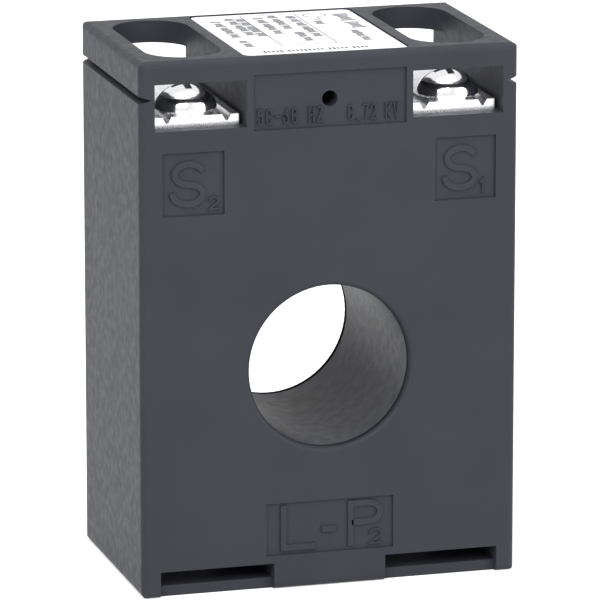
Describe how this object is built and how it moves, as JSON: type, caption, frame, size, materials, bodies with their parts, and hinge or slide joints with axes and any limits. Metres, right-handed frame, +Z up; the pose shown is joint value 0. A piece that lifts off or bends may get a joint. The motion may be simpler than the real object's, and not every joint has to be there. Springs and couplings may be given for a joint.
{
  "type": "current transformer",
  "caption": "Through-hole current transformer in a moulded block case, with a round cable bore and screw terminals in tunnels under round-ended roof openings.",
  "frame": {"origin": "middle of the base", "axes": "+X right, +Y back along the cable bore, +Z up; the front face looks along -Y"},
  "size_m": [0.05, 0.03, 0.07],
  "materials": {
    "case_plastic": "fine moulded texture",
    "tube_plastic": "smooth moulded",
    "core_steel": "wound strip",
    "insulation": "moulded insulation",
    "copper_wire": "enamelled copper wire",
    "tape": "polyester tape",
    "foam": "soft pad",
    "lead_red": "wire insulation",
    "lead_blue": "wire insulation",
    "plated_plate": "bright plated",
    "plated_nut": "zinc plated",
    "plated_washer": "bright plated",
    "polished_screw": "polished plating",
    "label_film": "satin printed film"
  },
  "bodies": {
    "housing": {"case": "case_plastic", "rear_cover": "case_plastic", "bore_tube": "tube_plastic", "core": "core_steel", "core_cup_front": "insulation", "core_cup_rear": "insulation", "secondary_winding": "copper_wire", "winding_tape": "tape", "end_pad_front": "foam", "end_pad_rear": "foam", "lead_s1": "lead_red", "lead_s2": "lead_blue", "terminal_plate_s1": "plated_plate", "terminal_plate_s2": "plated_plate", "terminal_nut_s1": "plated_nut", "terminal_nut_s2": "plated_nut", "rating_label": "label_film"},
    "washer_s1": {"clamp_washer_s1": "plated_washer"},
    "screw_s1": {"terminal_screw_s1": "polished_screw"},
    "washer_s2": {"clamp_washer_s2": "plated_washer"},
    "screw_s2": {"terminal_screw_s2": "polished_screw"}
  },
  "joints": [
    {"name": "screw_s1_lift", "type": "slide", "parent": "housing", "child": "washer_s1", "axis": [0, 0, 1], "range_m": [0, 0.0028]},
    {"name": "screw_s1_turn", "type": "hinge", "parent": "washer_s1", "child": "screw_s1", "pos_m": [0.0174, -0.0089, 0.06285], "axis": [0, 0, 1], "range_deg": [0, 1441]},
    {"name": "screw_s2_lift", "type": "slide", "parent": "housing", "child": "washer_s2", "axis": [0, 0, 1], "range_m": [0, 0.0028]},
    {"name": "screw_s2_turn", "type": "hinge", "parent": "washer_s2", "child": "screw_s2", "pos_m": [-0.0174, -0.0089, 0.06285], "axis": [0, 0, 1], "range_deg": [0, 1441]}
  ],
  "couplings": [
    {"joint": "screw_s1_turn", "follows": "screw_s1_lift", "rad_per_m": 8976},
    {"joint": "screw_s2_turn", "follows": "screw_s2_lift", "rad_per_m": 8976}
  ]
}
